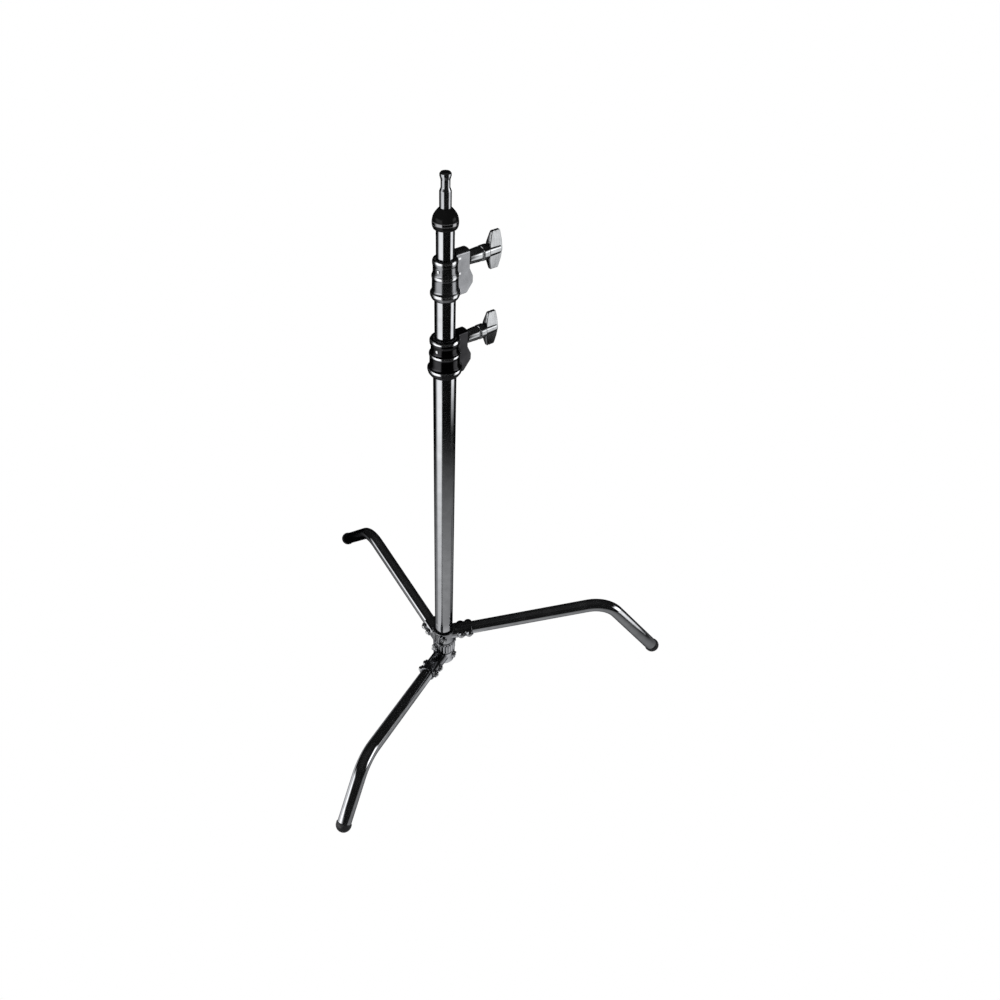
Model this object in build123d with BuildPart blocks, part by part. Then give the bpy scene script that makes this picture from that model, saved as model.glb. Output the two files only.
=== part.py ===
"""Short light stand with a sliding centre column and three bent, stacked legs.

Millimetres, +Z up. The origin is on the floor under the column, and +X runs
along the highest leg. The stand is opened, with both risers part-way out.
"""
from build123d import *

import os
from math import atan2, cos, degrees, radians, sin

# ---------------------------------------------------------------- tubes
COLUMN_R = 17.5
RISER_1_R = 15.0
RISER_2_R = 12.5
TUBE_WALL = 1.5
COLUMN_FOOT_Z = 101.0
COLUMN_TOP_Z = 692.0
RISER_1_FOOT_Z = 185.0
RISER_1_TOP_Z = 798.0
RISER_2_FOOT_Z = 235.0
RISER_2_TOP_Z = 880.0
BUSH_LENGTH = 40.0
BUSH_LIP = 5.0

# ---------------------------------------------------------------- fits
RUNNING_GAP = 0.06
FREE_GAP = 0.35
POLE_FLAT = 0.5
FACE_GAP = 0.1

# ---------------------------------------------------------------- collars
# Outlines are (radius, height) from the foot up to the rim.
LOWER_COLLAR = [
    (18.6, 656.0), (21.8, 658.2), (24.6, 662.0), (26.0, 666.5), (26.0, 669.5), (23.8, 672.3), (22.7, 675.0),
    (22.5, 687.0), (23.4, 689.6), (23.4, 692.0), (21.4, 694.6), (20.6, 697.0), (20.6, 704.0), (22.2, 707.5),
    (22.4, 712.0), (20.6, 715.0),
]
UPPER_COLLAR = [
    (16.2, 771.0), (19.0, 773.5), (20.9, 778.0), (20.9, 781.5), (19.2, 784.0), (18.4, 786.5), (18.0, 799.5),
    (18.7, 802.0), (18.7, 804.5), (17.5, 807.0), (16.9, 809.5), (16.9, 817.0), (17.6, 820.0), (17.6, 824.0),
    (16.4, 826.5),
]
COLLAR_CORNER_R = 0.8
LOWER_AXIS_Z = 703.0
UPPER_AXIS_Z = 817.0
KNOB_AZIMUTH = 34.0
LUG_REACH = 35.5
LUG_HALF_WIDTH = 9.0
LUG_HEIGHT = 29.0
LUG_RISE = 1.0
LUG_CORNER_R = 6.5
FIN_HALF_WIDTH = 9.0
LOWER_FIN = [(12, 704), (35.5, 704), (35.5, 692), (42, 680), (42, 671), (28.5, 656), (12, 656)]
UPPER_FIN = [(12, 818), (35.5, 818), (35.5, 806), (41.5, 795), (41.5, 786), (31, 774), (12, 774)]
LOWER_LINER_R = 17.0
UPPER_LINER_R = 14.6
LOWER_LINER_TOP_Z = 713.0
UPPER_LINER_TOP_Z = 824.5
RIVET_R = 1.8
RIVET_HEAD_R = 2.8
RIVET_AZIMUTHS = (112.0, 232.0)
LOWER_RIVET = (20.6, 700.5)
UPPER_RIVET = (16.9, 813.0)

# ---------------------------------------------------------------- brake screws and knobs
SCREW_R = 4.0
SHOE_R = 4.8
SHOE_THICKNESS = 3.4
BRAKE_TRAVEL = 2.5
KNOB_ROOT = 37.0
KNOB_TIP = 95.0
SCREW_END = 70.0
WING_HALF_SPAN = 25.8
WING_HALF_THICKNESS = 4.8
RIDGE_R = 2.6
RIDGE_PITCH = 5.0

# ---------------------------------------------------------------- legs
LEG_R = 12.5
LEG_WALL = 2.0
LEG_START = 28.0
LEG_BEND_R = 65.0
FOOT_R = 14.0
FOOT_BAND = 3.5
FOOT_PLUG_LENGTH = 28.0
RING_R = 21.4
RING_HEIGHT = 27.0
RING_CLEAR_R = 24.8
STACK_PITCH = 29.5
LOWEST_RING_Z = 24.5
SPINDLE_R = 10.0
SOCKET_WIDTH = 31.0
SOCKET_HEIGHT = 27.0
SOCKET_START = 8.0
SLIT_WIDTH = 1.6
SLIT_START = 30.0
CLAMP_BOLT_R = 3.0
CLAMP_BOSS_R = 7.5
CLAMP_HALF_GRIP = 17.5
CLAMP_HEAD_R = 5.2
CLAMP_HEAD = 4.2
PLUNGER_R = 4.0
PLUNGER_BOSS_R = 6.6
PLUNGER_ANGLE = 95.0
PLUNGER_START = 14.0
PLUNGER_END = 26.2
BOSS_END = 25.4
KEY_HOLE_R = 2.2
KEY_HOLE_DEPTH = 4.0
RIB_R = 2.4
RIB_ANGLES = (128.0, 145.0, 162.5, 180.0, 197.5, 215.0, 232.0)
WASHER_R = 19.5
NUT_R = 16.0
NUT_FOOT_Z = 4.5
SPINDLE_STUD_R = 7.5
SPINDLE_PLUG_TOP_Z = 132.5
# Pins: radius, azimuth and height.
SPINDLE_PIN = (3.0, 34.0, 118.0)

# Each leg: azimuth, place in the stack, bend reach and height, socket end, clamp bolt reaches, foot reach.
LEGS = {
    "front": (-117.8, 0, 336.0, 97.0, 82.0, (52.0, 72.0), 426.0),
    "left": (118.6, 1, 304.0, 126.0, 56.0, (34.0, 48.5), 429.0),
    "right": (0.0, 2, 321.0, 150.0, 57.0, (34.0, 49.5), 438.0),
}

# ---------------------------------------------------------------- top of the stand
SPIGOT_R = 8.0
SPIGOT_NECK_R = 6.2
SPIGOT_HEAD_R = 7.7
SPIGOT_SEAT_R = 7.2
SPIGOT_TOP_Z = 931.0
SPIGOT_SHOULDER_Z = 909.0
SPIGOT_SHANK_Z = 889.5
SPIGOT_FOOT_Z = 842.0
BUMPER_FOOT_Z = 864.0
BUMPER_TOP_Z = 889.0
SPIGOT_PIN = (2.5, -12.0, 857.0)


def finish(builder, name):
    """Label a finished piece and write it as its own STEP file."""
    builder.part.label = name
    export_step(builder.part, f"parts/{name}.step")


def polar(radius, azimuth, height=0.0):
    """Point at a radius, an azimuth in degrees and a height."""
    return (radius * cos(radians(azimuth)), radius * sin(radians(azimuth)), height)


def radial_plane(azimuth, height=0.0):
    """Upright plane through the column axis: x is outward and y is up."""
    sideways = (sin(radians(azimuth)), -cos(radians(azimuth)), 0)
    return Plane(origin=(0, 0, height), x_dir=polar(1, azimuth), z_dir=sideways)


def across_plane(azimuth, start, height):
    """Plane square to a radial line, at a distance out and a height: y is up."""
    sideways = (-sin(radians(azimuth)), cos(radians(azimuth)), 0)
    return Plane(origin=polar(start, azimuth, height), x_dir=sideways, z_dir=polar(1, azimuth))


def radial_axis(azimuth, height):
    """Line straight out of the column axis at a height."""
    return Axis((0, 0, height), polar(1, azimuth))


def tube(name, outer_r, foot, top, pin=None):
    """Round tube on the column axis with softened rims and an optional pin hole."""
    with BuildPart() as piece:
        with BuildSketch(Plane.XY.offset(foot)):
            Circle(outer_r)
            Circle(outer_r - TUBE_WALL, mode=Mode.SUBTRACT)
        extrude(amount=top - foot)
        chamfer(piece.edges().filter_by(GeomType.CIRCLE), length=0.3)
        if pin:
            pin_r, azimuth, height = pin
            with BuildSketch(across_plane(azimuth, 0, height)):
                Circle(pin_r)
            extrude(amount=outer_r + 1, both=True, mode=Mode.SUBTRACT)
    finish(piece, name)


def cross_pin(name, pin, half_length):
    """Plain pin driven across a tube and what it holds."""
    pin_r, azimuth, height = pin
    with BuildPart() as piece:
        with BuildSketch(across_plane(azimuth, 0, height)):
            Circle(pin_r)
        extrude(amount=half_length, both=True)
        chamfer(piece.edges().filter_by(GeomType.CIRCLE), length=0.3)
    finish(piece, name)


# ================================================================ collars
def collar(name, outline, tube_r, tube_top, liner_r, fin, axis_z, rivet_z):
    """Cast collar: turned shell with beads, a tube socket below, a liner above and a knob lug."""
    foot = outline[0][1]
    top = outline[-1][1]
    block_z = axis_z + LUG_RISE
    with BuildPart() as piece:
        with BuildSketch(Plane.XZ):
            with BuildLine():
                rim = FilletPolyline(*outline, radius=COLLAR_CORNER_R)
                Polyline(rim @ 1, (0, top), (0, foot), rim @ 0)
            make_face()
        revolve(axis=Axis.Z)
        with BuildSketch(radial_plane(KNOB_AZIMUTH)):
            with BuildLine():
                FilletPolyline(*fin, radius=2.5, close=True)
            make_face()
        extrude(amount=FIN_HALF_WIDTH, both=True)
        with BuildSketch(across_plane(KNOB_AZIMUTH, 8, block_z)):
            RectangleRounded(2 * LUG_HALF_WIDTH, LUG_HEIGHT, LUG_CORNER_R)
        extrude(amount=LUG_REACH - 8)
        with BuildSketch(Plane.XY.offset(foot)):
            Circle(tube_r)
        extrude(amount=tube_top - foot, mode=Mode.SUBTRACT)
        with BuildSketch(Plane.XY.offset(tube_top)):
            Circle(liner_r)
        extrude(amount=LUG_HEIGHT + 10, mode=Mode.SUBTRACT)
        with BuildSketch(across_plane(KNOB_AZIMUTH, 0, axis_z)):
            Circle(SHOE_R + RUNNING_GAP)
        extrude(amount=liner_r + 3 + BRAKE_TRAVEL, mode=Mode.SUBTRACT)
        with BuildSketch(across_plane(KNOB_AZIMUTH, 0, axis_z)):
            Circle(SCREW_R + RUNNING_GAP)
        extrude(amount=LUG_REACH + 10, mode=Mode.SUBTRACT)
        for azimuth in RIVET_AZIMUTHS:
            with BuildSketch(across_plane(azimuth, 0, rivet_z)):
                Circle(RIVET_R)
            extrude(amount=COLUMN_R + 12, mode=Mode.SUBTRACT)
    finish(piece, name)


def liner(name, outer_r, inner_r, foot, top, axis_z):
    """Plastic guide ring inside a collar, with a window for the brake shoe."""
    with BuildPart() as piece:
        with BuildSketch(Plane.XY.offset(foot)):
            Circle(outer_r)
            Circle(inner_r, mode=Mode.SUBTRACT)
        extrude(amount=top - foot)
        with BuildSketch(across_plane(KNOB_AZIMUTH, 0, axis_z)):
            Circle(SHOE_R + RUNNING_GAP)
        extrude(amount=outer_r + 5, mode=Mode.SUBTRACT)
    finish(piece, name)


def rivets(name, inner_r, skin_r, height):
    """Two dome-headed rivets that hold the liner in its collar."""
    with BuildPart() as piece:
        for azimuth in RIVET_AZIMUTHS:
            with BuildSketch(radial_plane(azimuth, height)):
                with BuildLine():
                    Polyline((skin_r + 1.1, POLE_FLAT), (skin_r + 1.1, 0), (inner_r, 0), (inner_r, RIVET_R),
                             (skin_r, RIVET_R), (skin_r, RIVET_HEAD_R))
                    ThreePointArc((skin_r, RIVET_HEAD_R), (skin_r + 0.8, 1.7), (skin_r + 1.1, POLE_FLAT))
                make_face()
            revolve(axis=radial_axis(azimuth, height))
    finish(piece, name)


# ================================================================ brake and knob
def brake_shoe(name, riser_r, axis_z):
    """Round brass pad that the screw presses on the riser."""
    with BuildPart() as piece:
        with BuildSketch(across_plane(KNOB_AZIMUTH, riser_r + FREE_GAP, axis_z)):
            Circle(SHOE_R)
        extrude(amount=SHOE_THICKNESS)
        chamfer(piece.edges().filter_by(GeomType.CIRCLE), length=0.4)
    finish(piece, name)


def knob_screw(name, riser_r, axis_z):
    """Steel screw from the shoe, through the lug and into the knob."""
    tip = riser_r + FREE_GAP + SHOE_THICKNESS
    with BuildPart() as piece:
        with BuildSketch(across_plane(KNOB_AZIMUTH, tip, axis_z)):
            Circle(SCREW_R)
        extrude(amount=SCREW_END - tip)
        chamfer(piece.edges().filter_by(GeomType.CIRCLE), length=0.5)
    finish(piece, name)


def knob(name, axis_z):
    """Two-winged hand knob: tapered shank, raised band, barrel and ridged wings."""
    plane = radial_plane(KNOB_AZIMUTH, axis_z)
    wing_top = WING_HALF_SPAN - 1.5
    with BuildPart() as piece:
        with BuildSketch(plane):
            with BuildLine():
                FilletPolyline((72, 0), (74, -13), (77, -wing_top), (93, -wing_top), (95, -13), (94, 0),
                               (95, 13), (93, wing_top), (77, wing_top), (74, 13), radius=1.8, close=True)
            make_face()
        extrude(amount=WING_HALF_THICKNESS, both=True)
        fillet(piece.faces().filter_by(Axis(plane.origin, plane.z_dir)).edges(), radius=1.4)
        with BuildSketch(plane):
            for side in (-1, 1):
                with Locations(*[(80.0 + step * RIDGE_PITCH, side * (wing_top - 1)) for step in range(3)]):
                    Circle(RIDGE_R)
        extrude(amount=WING_HALF_THICKNESS - 0.7, both=True)
        with BuildSketch(plane):
            with BuildLine():
                Polyline((KNOB_TIP - 0.6, POLE_FLAT), (KNOB_TIP - 0.6, 0), (KNOB_ROOT, 0), (KNOB_ROOT, 9.0),
                         (57.0, 10.0), (58.0, 8.2), (60.0, 8.2), (61.0, 10.4), (70.5, 10.4), (72.0, 8.4),
                         (KNOB_TIP - 3, 8.0))
                ThreePointArc((KNOB_TIP - 3, 8.0), (KNOB_TIP - 1.2, 4.9), (KNOB_TIP - 0.6, POLE_FLAT))
            make_face()
        revolve(axis=radial_axis(KNOB_AZIMUTH, axis_z))
        with BuildSketch(across_plane(KNOB_AZIMUTH, KNOB_ROOT, axis_z)):
            Circle(SCREW_R)
        extrude(amount=SCREW_END - KNOB_ROOT, mode=Mode.SUBTRACT)
    finish(piece, name)


# ================================================================ risers
def guide_bush(name, riser_r, bore_r, riser_foot):
    """Plastic bush at a riser's foot that slides in the tube around it."""
    foot = riser_foot - BUSH_LIP
    with BuildPart() as piece:
        with BuildSketch(Plane.XY.offset(foot)):
            Circle(bore_r - RUNNING_GAP)
            Circle(riser_r + RUNNING_GAP, mode=Mode.SUBTRACT)
        extrude(amount=BUSH_LENGTH)
        with BuildSketch(Plane.XY.offset(foot)):
            Circle(bore_r - RUNNING_GAP)
            Circle(riser_r - TUBE_WALL - 0.6, mode=Mode.SUBTRACT)
        extrude(amount=BUSH_LIP - FACE_GAP)
        with Locations(*[polar(bore_r, 60 + 120 * step, foot + BUSH_LENGTH / 2) for step in range(3)]):
            Box(1.1, 1.1, BUSH_LENGTH, mode=Mode.SUBTRACT)
    finish(piece, name)


# ================================================================ legs
def leg_slope(leg):
    """Rise of a leg tube, in degrees, from the column out to its bend."""
    _, place, bend_reach, bend_height, _, _, _ = leg
    return degrees(atan2(bend_height - ring_height(place), bend_reach))


def ring_height(place):
    """Height of the middle of a casting's ring, by its place in the stack."""
    return LOWEST_RING_Z + place * STACK_PITCH


def leg_plane(leg, distance):
    """Plane square to a leg tube's axis at a distance along it: x is sideways."""
    azimuth, place, _, _, _, _, _ = leg
    slope = radians(leg_slope(leg))
    sideways = (-sin(radians(azimuth)), cos(radians(azimuth)), 0)
    along = (*polar(cos(slope), azimuth)[:2], sin(slope))
    origin = polar(distance * cos(slope), azimuth, ring_height(place) + distance * sin(slope))
    return Plane(origin=origin, x_dir=sideways, z_dir=along)


def side_plane(leg, distance):
    """Plane through a leg tube's axis, seen from the side, with z across the leg."""
    base = leg_plane(leg, distance)
    return Plane(origin=base.origin, x_dir=base.z_dir, z_dir=base.x_dir)


def clamp_distances(leg):
    """Distances along the leg tube of its clamp bolts."""
    slope = radians(leg_slope(leg))
    return [reach / cos(slope) for reach in leg[5]]


def casting(name, leg):
    """Ring on the spindle with ribs, plunger bosses and a split socket for the leg."""
    azimuth, place, _, _, socket_end, _, _ = leg
    middle = ring_height(place)
    length = socket_end / cos(radians(leg_slope(leg)))
    with BuildPart() as piece:
        with BuildSketch(leg_plane(leg, SOCKET_START)):
            RectangleRounded(SOCKET_WIDTH, SOCKET_HEIGHT, SOCKET_HEIGHT / 2 - 0.2)
        extrude(amount=length - SOCKET_START)
        chamfer(piece.faces().sort_by(Axis(leg_plane(leg, 0).origin, leg_plane(leg, 0).z_dir))[-1].edges(),
                length=0.6)
        for distance in clamp_distances(leg):
            with BuildSketch(side_plane(leg, distance)):
                Circle(CLAMP_BOSS_R)
            extrude(amount=CLAMP_HALF_GRIP, both=True)
        with BuildSketch(Plane.XY.offset(middle + RING_HEIGHT / 2)):
            Circle(RING_CLEAR_R)
        extrude(amount=RING_HEIGHT, mode=Mode.SUBTRACT)
        with BuildSketch(Plane.XY.offset(middle - RING_HEIGHT / 2)):
            Circle(RING_R)
        extrude(amount=RING_HEIGHT)
        with BuildSketch(Plane.XY.offset(middle - RING_HEIGHT / 2 + 3)):
            with Locations(*[polar(RING_R - 0.4, azimuth + turn) for turn in RIB_ANGLES]):
                Circle(RIB_R)
        extrude(amount=RING_HEIGHT - 6)
        for turn in (-PLUNGER_ANGLE, PLUNGER_ANGLE):
            with BuildSketch(across_plane(azimuth + turn, 12, middle)):
                Circle(PLUNGER_BOSS_R)
            extrude(amount=BOSS_END - 12)
        with BuildSketch(leg_plane(leg, LEG_START)):
            Circle(LEG_R)
        extrude(amount=length, mode=Mode.SUBTRACT)
        with BuildSketch(leg_plane(leg, SLIT_START)):
            Rectangle(3 * SOCKET_WIDTH, SLIT_WIDTH)
        extrude(amount=length, mode=Mode.SUBTRACT)
        with BuildSketch(Plane.XY.offset(middle - RING_HEIGHT)):
            Circle(SPINDLE_R + RUNNING_GAP)
        extrude(amount=2 * RING_HEIGHT, mode=Mode.SUBTRACT)
        for turn in (-PLUNGER_ANGLE, PLUNGER_ANGLE):
            with BuildSketch(across_plane(azimuth + turn, PLUNGER_START, middle)):
                Circle(PLUNGER_R)
            extrude(amount=RING_R, mode=Mode.SUBTRACT)
        for distance in clamp_distances(leg):
            with BuildSketch(side_plane(leg, distance)):
                Circle(CLAMP_BOLT_R)
            extrude(amount=2 * CLAMP_HALF_GRIP, both=True, mode=Mode.SUBTRACT)
    finish(piece, name)


def plungers(name, leg):
    """Two screwed plungers in a casting, each with a key hole in its outer end."""
    azimuth, place, _, _, _, _, _ = leg
    with BuildPart() as piece:
        for turn in (-PLUNGER_ANGLE, PLUNGER_ANGLE):
            with BuildSketch(across_plane(azimuth + turn, PLUNGER_START, ring_height(place))):
                Circle(PLUNGER_R)
            extrude(amount=PLUNGER_END - PLUNGER_START)
            with BuildSketch(across_plane(azimuth + turn, PLUNGER_END - KEY_HOLE_DEPTH, ring_height(place))):
                RegularPolygon(KEY_HOLE_R, 6)
            extrude(amount=KEY_HOLE_DEPTH + 1, mode=Mode.SUBTRACT)
    finish(piece, name)


def leg_route(leg, end_trim):
    """Centre line of a leg tube: rise to the bend, then drop to the foot."""
    azimuth, _, bend_reach, bend_height, _, _, foot_reach = leg
    start = leg_plane(leg, LEG_START).origin
    bend = Vector(*polar(bend_reach, azimuth, bend_height))
    toe = Vector(*polar(foot_reach, azimuth, FOOT_R))
    end = toe - (toe - bend).normalized() * end_trim
    return start, bend, end


def leg_tube(name, leg):
    """Bent round leg tube, drilled for its clamp bolts."""
    start, bend, end = leg_route(leg, FOOT_BAND)
    with BuildPart() as piece:
        with BuildLine() as route:
            FilletPolyline(start, bend, end, radius=LEG_BEND_R)
        with BuildSketch(leg_plane(leg, LEG_START)):
            Circle(LEG_R)
            Circle(LEG_R - LEG_WALL, mode=Mode.SUBTRACT)
        sweep(path=route.line)
        for distance in clamp_distances(leg):
            with BuildSketch(side_plane(leg, distance)):
                Circle(CLAMP_BOLT_R)
            extrude(amount=2 * LEG_R, both=True, mode=Mode.SUBTRACT)
    finish(piece, name)


def foot_cap(name, leg):
    """Domed rubber foot with a plain plug pressed in the end of a leg tube."""
    azimuth, _, bend_reach, bend_height, _, _, foot_reach = leg
    drop = atan2(bend_height - FOOT_R, foot_reach - bend_reach)
    toe = polar(foot_reach, azimuth, FOOT_R)
    down = (*polar(cos(drop), azimuth)[:2], -sin(drop))
    sideways = (-sin(radians(azimuth)), cos(radians(azimuth)), 0)
    plane = Plane(origin=toe, x_dir=down, z_dir=sideways)
    bore_r = LEG_R - LEG_WALL
    with BuildPart() as piece:
        with BuildSketch(plane):
            with BuildLine():
                Polyline((0, FOOT_R), (-FOOT_BAND + 0.8, FOOT_R), (-FOOT_BAND, FOOT_R - 0.8), (-FOOT_BAND, bore_r),
                         (-FOOT_PLUG_LENGTH + 1, bore_r), (-FOOT_PLUG_LENGTH, bore_r - 1),
                         (-FOOT_PLUG_LENGTH, 0), (FOOT_R, 0))
                RadiusArc((FOOT_R, 0), (0, FOOT_R), -FOOT_R)
            make_face()
        revolve(axis=Axis(toe, down))
    finish(piece, name)


def clamp_bolts(name, leg):
    """Two dome-headed bolts across a leg socket."""
    with BuildPart() as piece:
        for distance in clamp_distances(leg):
            plane = side_plane(leg, distance)
            with BuildSketch(Plane(origin=plane.origin, x_dir=plane.z_dir, z_dir=plane.x_dir)):
                with BuildLine():
                    head = CLAMP_HALF_GRIP + CLAMP_HEAD
                    Polyline((head, POLE_FLAT), (head, 0), (-head, 0), (-head, CLAMP_BOLT_R),
                             (CLAMP_HALF_GRIP, CLAMP_BOLT_R), (CLAMP_HALF_GRIP, CLAMP_HEAD_R),
                             (CLAMP_HALF_GRIP + 1.4, CLAMP_HEAD_R))
                    ThreePointArc((CLAMP_HALF_GRIP + 1.4, CLAMP_HEAD_R), (head - 0.7, 3.0),
                                  (head, POLE_FLAT))
                make_face()
            revolve(axis=Axis(plane.origin, plane.z_dir))
    finish(piece, name)


def clamp_nuts(name, leg):
    """Hexagon nuts on the clamp bolts."""
    with BuildPart() as piece:
        for distance in clamp_distances(leg):
            plane = side_plane(leg, distance)
            start = plane.origin - plane.z_dir * (CLAMP_HALF_GRIP + CLAMP_HEAD - 0.8)
            with BuildSketch(Plane(origin=start, x_dir=plane.x_dir, z_dir=plane.z_dir)):
                RegularPolygon(CLAMP_HEAD_R, 6)
                Circle(CLAMP_BOLT_R, mode=Mode.SUBTRACT)
            extrude(amount=CLAMP_HEAD - 0.8)
    finish(piece, name)


# ================================================================ spindle
def spindle():
    """Solid post: a plug pressed in the column, a shaft through the rings, a stud."""
    shoulder = ring_height(2) + RING_HEIGHT / 2 + FACE_GAP
    pin_r, azimuth, height = SPINDLE_PIN
    with BuildPart() as piece:
        with BuildSketch(Plane.XZ):
            with BuildLine():
                Polyline((0, NUT_FOOT_Z + 2.5), (SPINDLE_STUD_R, NUT_FOOT_Z + 2.5), (SPINDLE_STUD_R, 10.9),
                         (SPINDLE_R, 10.9), (SPINDLE_R, shoulder), (13.5, shoulder),
                         (13.5, COLUMN_FOOT_Z), (COLUMN_R - TUBE_WALL, COLUMN_FOOT_Z),
                         (COLUMN_R - TUBE_WALL, SPINDLE_PLUG_TOP_Z - 1.5),
                         (COLUMN_R - TUBE_WALL - 1.5, SPINDLE_PLUG_TOP_Z), (0, SPINDLE_PLUG_TOP_Z),
                         close=True)
            make_face()
        revolve(axis=Axis.Z)
        with BuildSketch(across_plane(azimuth, 0, height)):
            Circle(pin_r)
        extrude(amount=COLUMN_R, both=True, mode=Mode.SUBTRACT)
    finish(piece, "spindle")


def hub_washers():
    """Thin washers on the spindle between the three rings."""
    with BuildPart() as piece:
        for place in (0, 1):
            with BuildSketch(Plane.XY.offset(ring_height(place) + RING_HEIGHT / 2 + FACE_GAP)):
                Circle(WASHER_R)
                Circle(SPINDLE_R, mode=Mode.SUBTRACT)
            extrude(amount=STACK_PITCH - RING_HEIGHT - 2 * FACE_GAP)
    finish(piece, "hub_washers")


def base_nut():
    """Domed nut that closes the stack from below."""
    top = LOWEST_RING_Z - RING_HEIGHT / 2 - FACE_GAP
    with BuildPart() as piece:
        with BuildSketch(Plane.XZ):
            with BuildLine():
                Polyline((0, NUT_FOOT_Z + 2.5), (SPINDLE_STUD_R, NUT_FOOT_Z + 2.5), (SPINDLE_STUD_R, top),
                         (NUT_R, top), (NUT_R, top - 1.5))
                ThreePointArc((NUT_R, top - 1.5), (NUT_R - 3, NUT_FOOT_Z + 1.6), (NUT_R - 8, NUT_FOOT_Z))
                Polyline((NUT_R - 8, NUT_FOOT_Z), (0, NUT_FOOT_Z), (0, NUT_FOOT_Z + 2.5))
            make_face()
        revolve(axis=Axis.Z)
    finish(piece, "base_nut")


# ================================================================ top of the stand
def spigot():
    """Steel spigot pinned in the upper riser, with a neck and a bevelled head."""
    plug_r = RISER_2_R - TUBE_WALL
    pin_r, azimuth, height = SPIGOT_PIN
    with BuildPart() as piece:
        with BuildSketch(Plane.XZ):
            with BuildLine():
                Polyline((0, SPIGOT_FOOT_Z), (plug_r - 1, SPIGOT_FOOT_Z), (plug_r, SPIGOT_FOOT_Z + 1),
                         (plug_r, RISER_2_TOP_Z), (SPIGOT_SEAT_R, RISER_2_TOP_Z),
                         (SPIGOT_SEAT_R, SPIGOT_SHANK_Z), (SPIGOT_R, SPIGOT_SHANK_Z),
                         (SPIGOT_R, SPIGOT_SHOULDER_Z),
                         (SPIGOT_NECK_R, SPIGOT_SHOULDER_Z + 4), (SPIGOT_NECK_R, SPIGOT_TOP_Z - 9),
                         (SPIGOT_HEAD_R, SPIGOT_TOP_Z - 4.5), (SPIGOT_HEAD_R, SPIGOT_TOP_Z - 2),
                         (SPIGOT_HEAD_R - 1.7, SPIGOT_TOP_Z), (0, SPIGOT_TOP_Z), close=True)
            make_face()
        revolve(axis=Axis.Z)
        with BuildSketch(across_plane(azimuth, 0, height)):
            Circle(pin_r)
        extrude(amount=RISER_2_R, both=True, mode=Mode.SUBTRACT)
    finish(piece, "spigot")


def bumper():
    """Black ring that caps the upper riser around the spigot."""
    with BuildPart() as piece:
        with BuildSketch(Plane.XZ):
            with BuildLine():
                Polyline((SPIGOT_SEAT_R, BUMPER_TOP_Z), (SPIGOT_SEAT_R, RISER_2_TOP_Z), (RISER_2_R, RISER_2_TOP_Z),
                         (RISER_2_R, BUMPER_FOOT_Z), (13.8, BUMPER_FOOT_Z))
                Spline((13.8, BUMPER_FOOT_Z), (16.4, 867.5), (17.9, 874.0), (15.6, 881.5), (11.4, 887.0),
                       (SPIGOT_SEAT_R, BUMPER_TOP_Z))
            make_face()
        revolve(axis=Axis.Z)
    finish(piece, "top_bumper")


# ================================================================ the whole stand
os.makedirs("parts", exist_ok=True)

tube("column_tube", COLUMN_R, COLUMN_FOOT_Z, COLUMN_TOP_Z, SPINDLE_PIN)
tube("riser_1_tube", RISER_1_R, RISER_1_FOOT_Z, RISER_1_TOP_Z)
tube("riser_2_tube", RISER_2_R, RISER_2_FOOT_Z, RISER_2_TOP_Z, SPIGOT_PIN)
spindle()
cross_pin("spindle_pin", SPINDLE_PIN, COLUMN_R - 0.2)
hub_washers()
base_nut()
spigot()
cross_pin("spigot_pin", SPIGOT_PIN, RISER_2_R - 0.2)
bumper()
guide_bush("riser_1_bush", RISER_1_R, COLUMN_R - TUBE_WALL, RISER_1_FOOT_Z)
guide_bush("riser_2_bush", RISER_2_R, RISER_1_R - TUBE_WALL, RISER_2_FOOT_Z)

collar("lower_collar", LOWER_COLLAR, COLUMN_R, COLUMN_TOP_Z, LOWER_LINER_R, LOWER_FIN, LOWER_AXIS_Z,
       LOWER_RIVET[1])
collar("upper_collar", UPPER_COLLAR, RISER_1_R, RISER_1_TOP_Z, UPPER_LINER_R, UPPER_FIN, UPPER_AXIS_Z,
       UPPER_RIVET[1])
liner("lower_collar_liner", LOWER_LINER_R, RISER_1_R + RUNNING_GAP, COLUMN_TOP_Z, LOWER_LINER_TOP_Z, LOWER_AXIS_Z)
liner("upper_collar_liner", UPPER_LINER_R, RISER_2_R + RUNNING_GAP, RISER_1_TOP_Z, UPPER_LINER_TOP_Z, UPPER_AXIS_Z)
rivets("lower_collar_rivets", LOWER_LINER_R, *LOWER_RIVET)
rivets("upper_collar_rivets", UPPER_LINER_R, *UPPER_RIVET)
for level, riser_r, axis_z in (("lower", RISER_1_R, LOWER_AXIS_Z), ("upper", RISER_2_R, UPPER_AXIS_Z)):
    brake_shoe(f"{level}_brake_shoe", riser_r, axis_z)
    knob_screw(f"{level}_knob_screw", riser_r, axis_z)
    knob(f"{level}_knob", axis_z)

for side, leg in LEGS.items():
    casting(f"{side}_leg_casting", leg)
    leg_tube(f"{side}_leg_tube", leg)
    foot_cap(f"{side}_foot_cap", leg)
    clamp_bolts(f"{side}_clamp_bolts", leg)
    clamp_nuts(f"{side}_clamp_nuts", leg)
    plungers(f"{side}_plungers", leg)
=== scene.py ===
import math
from collections import namedtuple

import bpy
import numpy as np
from mathutils import Matrix, Vector


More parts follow.
